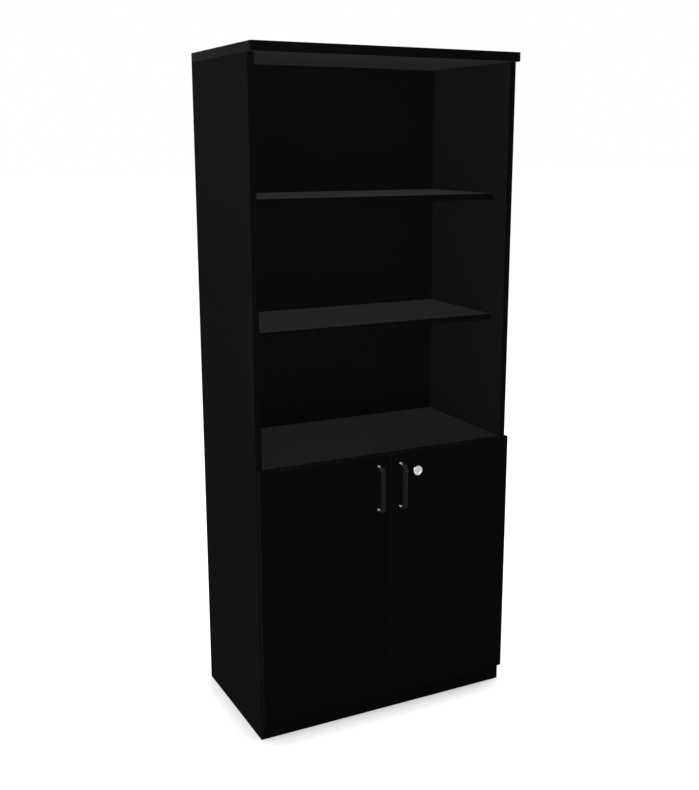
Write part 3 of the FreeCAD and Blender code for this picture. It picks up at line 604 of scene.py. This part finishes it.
@dataclass(frozen=True)
class ScrewShape:
    """Pan-head screw: sizes of its recess and its rounding as shares of the head."""

    drive: Drive = Drive.CROSS
    drive_span_share: float = 0.56
    drive_width_share: float = 0.13
    drive_depth_share: float = 0.62
    drive_taper: float = 0.7
    crown_share: float = 0.68
    rim_share: float = 0.45
    shoulder_share: float = 0.9
    steps: int = 24

    def outline(self, radius: float) -> list[tuple[float, float]]:
        """Draws the recess.

        Args:
            radius: radius of the head.

        Returns:
            The corners of the recess.
        """
        span = radius * self.drive_span_share
        half = radius * self.drive_width_share
        if self.drive is Drive.SLOT:
            return [(span, -half), (span, half), (-span, half), (-span, -half)]
        arm = [(span, -half), (span, half), (half, half)]
        turns = ((1, 0), (0, 1), (-1, 0), (0, -1))
        return [(x * c - y * s, x * s + y * c) for c, s in turns for x, y in arm]

    def screw(self, radius: float, size: ScrewSize, length: float) -> Form:
        """Makes one screw that stands with its seat at the origin and its head towards +Z.

        Args:
            radius: radius of the head.
            size: height of the head and diameter of the shank.
            length: length of the shank.

        Returns:
            The form of the screw.
        """
        height, shank = size.head_height, size.shank_diameter / 2
        form = Form()
        form.turn([
            (radius * self.crown_share, height),
            (radius * self.shoulder_share, height * (1 + self.rim_share) / 2),
            (radius, height * self.rim_share),
            (radius, 0),
            (shank, 0),
            (shank, -length + shank),
            (0, -length),
        ], self.steps)
        rim = [edge for edge in form.bm.edges if edge.is_boundary]
        recess = form.loop([(x, y, height) for x, y in self.outline(radius)])
        bmesh.ops.bridge_loops(form.bm, edges=rim + recess)
        floor = form.pull(recess, UP * (-height * self.drive_depth_share), self.drive_taper)
        form.cap(floor)
        return form


@dataclass(frozen=True)
class ScrewGroup(Assembly):
    """Screws of one node.

    Attributes:
        node: node of the frame that holds them.
        body: body that carries them.
        head_side: direction of the heads, or None where they point to the middle of the width.
        size, shape: sizes and shape of each screw.
    """

    node: str
    body: str
    head_side: Point | None
    size: ScrewSize
    shape: ScrewShape = ScrewShape()

    def build(self) -> Pieces:
        """Makes the piece that stands for the node.

        Returns:
            The screws, as one piece.
        """
        group = Form()
        for low, high in solid_boxes(self.node):
            middle, extent = (low + high) / 2, high - low
            to_middle = TO_LEFT if middle.x > 0 else TO_RIGHT
            head_side = Vector(self.head_side or to_middle)
            total = abs(extent.dot(head_side))
            across = max(extent - Vector(map(abs, head_side)) * total)
            length = total - self.size.head_height
            seat = middle + head_side * (total / 2 - self.size.head_height)
            group.stamp(self.shape.screw(across / 2, self.size, length), towards(head_side, seat))
        return [group.piece(f"{self.node}_recessed", self.body, Skin.STEEL, self.node)]


@dataclass
class Carcass(Assembly):
    """Fixed boards, shelves and back, with their bands, pins and dowels."""

    sides: tuple[str, ...] = ("left_side", "right_side")
    shelves: tuple[str, ...] = ("top_panel", "upper_shelf", "lower_shelf", "fixed_shelf",
                                "cupboard_shelf", "bottom_panel")
    bands: tuple[str, ...] = ("top_edge_band", "carcass_edge_bands", "shelf_edge_bands")
    flutes: int = 18
    flute_depth: float = 0.0004
    dowel_chamfer: float = 0.001
    dowel_end_share: float = 0.75

    def build(self) -> Pieces:
        """Dresses the boards and makes the dowels.

        Returns:
            All pieces of the carcass.
        """
        return [
            *dress(Skin.SIDE, *self.sides),
            *dress(Skin.SHELF, *self.shelves),
            *dress(Skin.FRONT, "plinth"),
            *dress(Skin.BAND, *self.bands),
            *dress(Skin.BACK, "back_panel"),
            *dress(Skin.PIN, "shelf_pins"),
            self.dowels(),
        ]

    def dowels(self) -> bpy.types.Object:
        """Makes the fluted dowels that join the boards.

        Returns:
            The dowels, as one piece.
        """
        group = Form()
        for low, high in solid_boxes("carcass_dowels"):
            extent = high - low
            along = Vector(TO_RIGHT) if extent.x > extent.z else UP
            length = extent.dot(along)
            start = (low + high) / 2 - along * (length / 2)
            group.stamp(self.dowel(min(extent) / 2, length), towards(along, start))
        return group.piece("fluted_dowels", CARCASS, Skin.DOWEL, "carcass_dowels")

    def dowel(self, radius: float, length: float) -> Form:
        """Makes one dowel that stands on the origin.

        Args:
            radius: outer radius.
            length: whole length.

        Returns:
            The form of the dowel.
        """
        form = Form()
        spots = []
        for step in range(2 * self.flutes):
            reach = (radius - self.flute_depth * (step % 2)) * self.dowel_end_share
            angle = math.pi * step / self.flutes
            spots.append((reach * math.cos(angle), reach * math.sin(angle), 0))
        ring = form.loop(spots)
        form.cap(ring)
        ring = form.pull(ring, UP * self.dowel_chamfer, 1 / self.dowel_end_share)
        ring = form.pull(ring, UP * (length - 2 * self.dowel_chamfer))
        form.cap(form.pull(ring, UP * self.dowel_chamfer, self.dowel_end_share))
        return form


@dataclass
class Handle(Assembly):
    """Bow handle bent from round bar."""

    hand: Hand
    bend_radius: float = 0.0145
    sides: int = 32
    bend_steps: int = 10

    def build(self) -> Pieces:
        """Sweeps the bar from the lower foot to the upper one.

        Returns:
            The handle.
        """
        node = f"{self.hand.value}_handle"
        low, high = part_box(node)
        radius = (high.x - low.x) / 2
        x, door_y, grip_y = (low.x + high.x) / 2, high.y, low.y + radius
        foot_z, head_z = low.z + radius, high.z - radius
        leg_y = grip_y + self.bend_radius
        lower_bend = Vector((x, leg_y, foot_z + self.bend_radius))
        upper_bend = Vector((x, leg_y, head_z - self.bend_radius))
        turns = [math.tau * step / self.sides for step in range(self.sides)]
        bar = Form()
        ring = bar.loop([(x + radius * math.cos(turn), door_y, foot_z + radius * math.sin(turn))
                         for turn in turns])
        bar.cap(ring)
        ring = bar.pull(ring, Vector((0, leg_y - door_y, 0)))
        ring = bar.bend(ring, lower_bend, TO_LEFT, self.bend_steps)
        ring = bar.pull(ring, UP * (head_z - foot_z - 2 * self.bend_radius))
        ring = bar.bend(ring, upper_bend, TO_LEFT, self.bend_steps)
        bar.cap(bar.pull(ring, Vector((0, door_y - leg_y, 0))))
        return [bar.piece(self.hand.bow_handle, self.hand.door, Skin.HANDLE, node)]


@dataclass
class Door(Assembly):
    """One door with what is fixed to it."""

    hand: Hand
    handle_screw: ScrewSize = ScrewSize(head_height=0.0026, shank_diameter=0.004)
    buffer_flat_share: float = 0.35
    buffer_steps: int = 24
    buffer_round_steps: int = 6

    def build(self) -> Pieces:
        """Dresses the door and makes its handle, screws and buffers.

        Returns:
            All pieces of the door.
        """
        door = self.hand.door
        screws = f"{self.hand.value}_handle_screws"
        return [
            *dress(Skin.FRONT, door),
            *dress(Skin.DOOR_BAND, f"{door}_edge_band"),
            *Handle(self.hand).build(),
            *ScrewGroup(screws, door, TO_REAR, self.handle_screw).build(),
            self.buffers(),
        ]

    def buffers(self) -> bpy.types.Object:
        """Makes the soft domes that the door closes on.

        Returns:
            The domes, as one piece.
        """
        node = f"{self.hand.door}_buffers"
        group = Form()
        for low, high in solid_boxes(node):
            radius, height = (high.x - low.x) / 2, high.y - low.y
            rise = height * (1 - self.buffer_flat_share)
            bow = [(radius * math.cos(angle), height - rise + rise * math.sin(angle))
                   for angle in quarter_arc(self.buffer_round_steps)]
            dome = Form()
            dome.turn([(0, 0), (radius, 0)] + bow, self.buffer_steps)
            middle = (low + high) / 2
            seat = Vector((middle.x, low.y, middle.z))
            group.stamp(dome, towards(Vector(TO_REAR), seat))
        return group.piece(f"{self.hand.value}_buffer_domes", self.hand.door, Skin.RUBBER, node)


@dataclass
class Hinges(Assembly):
    """Concealed cup hinges of both doors."""

    pressed: tuple[str, ...] = ("plate", "arm", "link", "cup")
    cup_screw: ScrewSize = ScrewSize(head_height=0.0018, shank_diameter=0.0035)
    plate_screw: ScrewSize = ScrewSize(head_height=0.002, shank_diameter=0.005)
    arm_screw: ScrewSize = ScrewSize(head_height=0.0012, shank_diameter=0.004)

    def build(self) -> Pieces:
        """Dresses the pressed pieces and makes their screws.

        Returns:
            All pieces of the hinges.
        """
        pieces = []
        for hand in Hand:
            names = [f"{hand.value}_{level.value}_hinge_{part}"
                     for level in Level for part in self.pressed]
            pieces += dress(Skin.STEEL, *names, f"{hand.value}_cup_rivets")
            screws = f"{hand.value}_cup_screws"
            pieces += ScrewGroup(screws, hand.door, TO_REAR, self.cup_screw).build()
        slotted = ScrewShape(Drive.SLOT)
        return pieces + [
            *dress(Skin.STEEL, "hinge_arm_rivets"),
            *ScrewGroup("hinge_plate_screws", CARCASS, None, self.plate_screw).build(),
            *ScrewGroup("hinge_arm_screws", CARCASS, None, self.arm_screw, slotted).build(),
        ]


@dataclass
class Lock(Assembly):
    """Cam lock of the right door."""

    rosette_height: float = 0.0045
    rosette_round: float = 0.0016
    dish_diameter: float = 0.017
    dish_depth: float = 0.0008
    barrel_diameter: float = 0.019
    bore_diameter: float = 0.0121
    steps: int = 64
    round_steps: int = 6
    cam_screw: ScrewSize = ScrewSize(head_height=0.0022, shank_diameter=0.004)
    keeper_screw: ScrewSize = ScrewSize(head_height=0.0018, shank_diameter=0.0035)

    def build(self) -> Pieces:
        """Makes the rosette and dresses the turning pieces and the keeper.

        Returns:
            All pieces of the lock.
        """
        return [
            self.rosette(),
            *dress(Skin.LOCK, "lock_cylinder"),
            *dress(Skin.STEEL, "lock_nut", "lock_cam", "lock_keeper"),
            *ScrewGroup("lock_cam_screw", "lock_core", TO_REAR, self.cam_screw).build(),
            *ScrewGroup("keeper_screws", CARCASS, TO_FLOOR, self.keeper_screw).build(),
        ]

    def rosette(self) -> bpy.types.Object:
        """Turns the rosette with its barrel, front face towards -Y.

        Returns:
            The rosette.
        """
        low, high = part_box("lock_body")
        radius, length = (high.x - low.x) / 2, high.y - low.y
        bore, dish, barrel = (diameter / 2 for diameter in (
            self.bore_diameter, self.dish_diameter, self.barrel_diameter))
        bow = [(radius - self.rosette_round * (1 - math.cos(angle)),
                -self.rosette_round * (1 - math.sin(angle)))
               for angle in reversed(quarter_arc(self.round_steps))]
        form = Form()
        form.turn([
            (bore, -length),
            (bore, -self.dish_depth),
            (dish - self.dish_depth, -self.dish_depth),
            (dish, 0),
            *bow,
            (radius, -self.rosette_height),
            (barrel, -self.rosette_height),
            (barrel, -length),
            (bore, -length),
        ], self.steps)
        middle = (low + high) / 2
        face = Vector((middle.x, low.y, middle.z))
        turned = Form()
        turned.stamp(form, towards(Vector(TO_FRONT), face))
        return turned.piece("lock_rosette", Hand.RIGHT.door, Skin.LOCK, "lock_body")


@dataclass(frozen=True)
class SoftBox:
    """Soft lamp that points at the object.

    Attributes:
        name, place, target: its name, where it hangs and what it points at.
        size, power: sides in metres and power in watts.
        shadows, mirrored: whether it casts shadows and whether bright surfaces mirror it.
        shaded_by: names of the only pieces that shade it, or none where every piece does.
        highlights_on: names of the pieces where it only makes highlights, or none where it
            lights everything.
    """

    name: str
    place: Point
    target: Point
    size: tuple[float, float]
    power: float
    shadows: bool = True
    mirrored: bool = True
    shaded_by: tuple[str, ...] = ()
    highlights_on: tuple[str, ...] = ()

    def build(self) -> None:
        """Hangs the lamp."""
        data = bpy.data.lights.new(self.name, "AREA")
        data.shape = "RECTANGLE"
        data.size, data.size_y = self.size
        data.energy = self.power
        data.use_shadow = self.shadows
        lamp = bpy.data.objects.new(self.name, data)
        lamp.location = self.place
        aim = Vector(self.target) - Vector(self.place)
        lamp.rotation_euler = aim.to_track_quat("-Z", "Y").to_euler()
        lamp.visible_camera = False
        lamp.visible_glossy = self.mirrored
        bpy.context.scene.collection.objects.link(lamp)
        if self.highlights_on:
            lamp.visible_diffuse = False
            lamp.light_linking.receiver_collection = self.gather("lit", self.highlights_on)
        if self.shaded_by:
            lamp.light_linking.blocker_collection = self.gather("shading", self.shaded_by)

    def gather(self, use: str, names: Iterable[str]) -> bpy.types.Collection:
        """Gathers pieces that the lamp treats in its own way.

        Args:
            use: what the lamp does with them.
            names: names of the pieces.

        Returns:
            A collection of these pieces.
        """
        group = bpy.data.collections.new(f"{self.name}_{use}")
        for name in names:
            group.objects.link(bpy.data.objects[name])
        return group


@dataclass
class Studio:
    """Camera, floor, surroundings and lamps.

    Attributes:
        image_size, focal_px, centre_px: the photograph's frame, focal length and optical
            centre, in pixels.
        camera_place, camera_drop, camera_turn: where the camera stands and its angles, in
            degrees.
        sensor: width of the camera's sensor, in millimetres.
        ambient: level of the surroundings for soft light.
        floor_span: side of the floor.
        floor_colour, floor_glow: what the floor throws back and what it shows to the camera
            by itself.
        floor_bounce: share of that glow that lights the object.
        contact_reach, contact_tone: width of the painted shade in the floor's glow where the
            object
        stands, and its darkest tone.
        contact_samples: rays that measure this shade.
        lamps: the lamps.
    """

    image_size: tuple[int, int] = (699, 790)
    focal_px: float = 1067.1
    centre_px: tuple[float, float] = (355.66, 384.06)
    camera_place: Point = (-1.4032, -2.7369, 1.6477)
    camera_drop: float = 12.703
    camera_turn: float = 27.071
    sensor: float = 36.0
    ambient: float = 0.1
    floor_span: float = 120.0
    floor_colour: Colour = (0.2, 0.2, 0.2)
    floor_glow: float = 1.0
    floor_bounce: float = 0.42
    contact_reach: float = 0.105
    contact_tone: float = 0.12
    contact_samples: int = 12
    lamps: tuple[SoftBox, ...] = (
        SoftBox("key", place=(-3.3, -3.0, 2.3), target=(0, 0, 1.1), size=(2.0, 2.0),
                power=182.0, shaded_by=DOORS),
        SoftBox("overhead", place=(-1.5, -1.3, 3.3), target=(0, 0, 0.9), size=(0.35, 0.35),
                power=40.0, shaded_by=DOORS),
        SoftBox("rim", place=(-1.5, 2.7, 1.7), target=(0, -0.2, 0.7), size=(0.6, 0.6),
                power=33.5, shadows=False),
        SoftBox("glint", place=(-1.5, 2.7, 1.7), target=(0, -0.2, 0.7), size=(1.8, 1.8),
                power=1600.0, shadows=False, highlights_on=BOW_HANDLES),
        SoftBox("low_fill", place=(-0.2, -3.4, 0.5), target=(0, 0, 1.6), size=(3.2, 0.9),
                power=81.0, shaded_by=DOORS, mirrored=False),
        SoftBox("right_side", place=(3.3, 0.7, 2.2), target=(0.3, 0, 1.0), size=(2.0, 2.0),
                power=130.0),
        SoftBox("behind", place=(0.9, 3.4, 2.2), target=(0, 0.2, 1.0), size=(2.4, 1.6),
                power=150.0),
        SoftBox("above", place=(0.1, 0.7, 4.0), target=(0, 0.1, 1.9), size=(1.4, 0.8),
                power=85.0),
    )

    def build(self) -> None:
        """Sets up the studio."""
        bpy.context.scene.view_settings.view_transform = "Standard"
        self.camera()
        self.floor()
        self.surroundings()
        for lamp in self.lamps:
            lamp.build()

    def camera(self) -> None:
        """Places the camera at the photograph's angle."""
        data = bpy.data.cameras.new("camera")
        width, height = self.image_size
        longest = max(self.image_size)
        data.sensor_width = self.sensor
        data.lens = self.focal_px * self.sensor / longest
        data.shift_x = ((width - 1) / 2 - self.centre_px[0]) / longest
        data.shift_y = (self.centre_px[1] - (height - 1) / 2) / longest
        eye = bpy.data.objects.new("camera", data)
        eye.location = self.camera_place
        tilt = QUARTER_TURN - math.radians(self.camera_drop)
        eye.rotation_euler = (tilt, 0, -math.radians(self.camera_turn))
        bpy.context.scene.collection.objects.link(eye)
        bpy.context.scene.camera = eye

    @staticmethod
    def seen_or(tree: bpy.types.NodeTree, other: float) -> bpy.types.NodeSocket:
        """Adds nodes that tell what is seen from what only lights.

        Args:
            tree: node tree that gets the nodes.
            other: level for rays that only carry soft light.

        Returns:
            The output, 1 for rays from the camera, a mirror or glass.
        """
        path = tree.nodes.new("ShaderNodeLightPath")
        total = path.outputs["Is Camera Ray"]
        for name in ("Is Glossy Ray", "Is Transmission Ray"):
            larger = tree.nodes.new("ShaderNodeMath")
            larger.operation = "MAXIMUM"
            tree.links.new(total, larger.inputs[0])
            tree.links.new(path.outputs[name], larger.inputs[1])
            total = larger.outputs["Value"]
        level = tree.nodes.new("ShaderNodeMapRange")
        level.inputs["To Min"].default_value = other
        tree.links.new(total, level.inputs["Value"])
        return level.outputs["Result"]

    def floor_finish(self) -> bpy.types.Material:
        """Makes the floor's material, with a painted shade where the object stands: occlusion
        near the object darkens the floor's glow.

        Returns:
            The pale material.
        """
        recipe = Recipe("pale_floor")
        matt = recipe.add("ShaderNodeBsdfDiffuse", {"Color": (*self.floor_colour, 1)})
        glow = recipe.add("ShaderNodeEmission")
        # Painted shade: occlusion within contact_reach darkens the floor's glow towards
        # contact_tone.
        shade = recipe.add("ShaderNodeAmbientOcclusion", {"Distance": self.contact_reach},
                           samples=self.contact_samples)
        level = recipe.add("ShaderNodeMapRange", {
            "To Min": self.contact_tone,
            "To Max": self.floor_glow,
        })
        shown = recipe.add("ShaderNodeMath", operation="MULTIPLY")
        both = recipe.add("ShaderNodeAddShader")
        recipe.wire(shade, "AO", level, "Value")
        recipe.wire(level, "Result", shown, 0)
        recipe.tree.links.new(self.seen_or(recipe.tree, self.floor_bounce), shown.inputs[1])
        recipe.wire(shown, "Value", glow, "Strength")
        recipe.wire(matt, "BSDF", both, 0)
        recipe.wire(glow, "Emission", both, 1)
        return recipe.surface(both, "Shader")

    def floor(self) -> None:
        """Lays the pale floor, whose glow carries a painted shade where the object stands; its
        matt part takes the lamps' shadows.
        """
        form = Form()
        bmesh.ops.create_grid(form.bm, x_segments=1, y_segments=1, size=self.floor_span / 2)
        mesh = bpy.data.meshes.new("floor")
        form.bm.to_mesh(mesh)
        form.bm.free()
        mesh.materials.append(self.floor_finish())
        ground = bpy.data.objects.new("floor", mesh)
        bpy.context.scene.collection.objects.link(ground)

    def surroundings(self) -> None:
        """Makes white surroundings that light the object at a plain level."""
        world = bpy.data.worlds.new("surroundings")
        world.use_nodes = True
        tree = world.node_tree
        sky = next(node for node in tree.nodes if node.type == "BACKGROUND")
        sky.inputs["Color"].default_value = (1, 1, 1, 1)
        tree.links.new(self.seen_or(tree, self.ambient), sky.inputs["Strength"])
        bpy.context.scene.world = world


def main() -> None:
    """Builds the sub-assemblies in order and reports each piece, then sets up the studio."""
    logging.basicConfig(level=logging.INFO, format="%(message)s")
    assemblies: list[Assembly] = [Carcass(), Door(Hand.LEFT), Door(Hand.RIGHT), Hinges(), Lock()]
    for assembly in assemblies:
        for piece in assembly.build():
            LOG.info("%s: %s", piece.name, piece.material_slots[0].material.name)
    Studio().build()


if __name__ == "__main__":
    main()
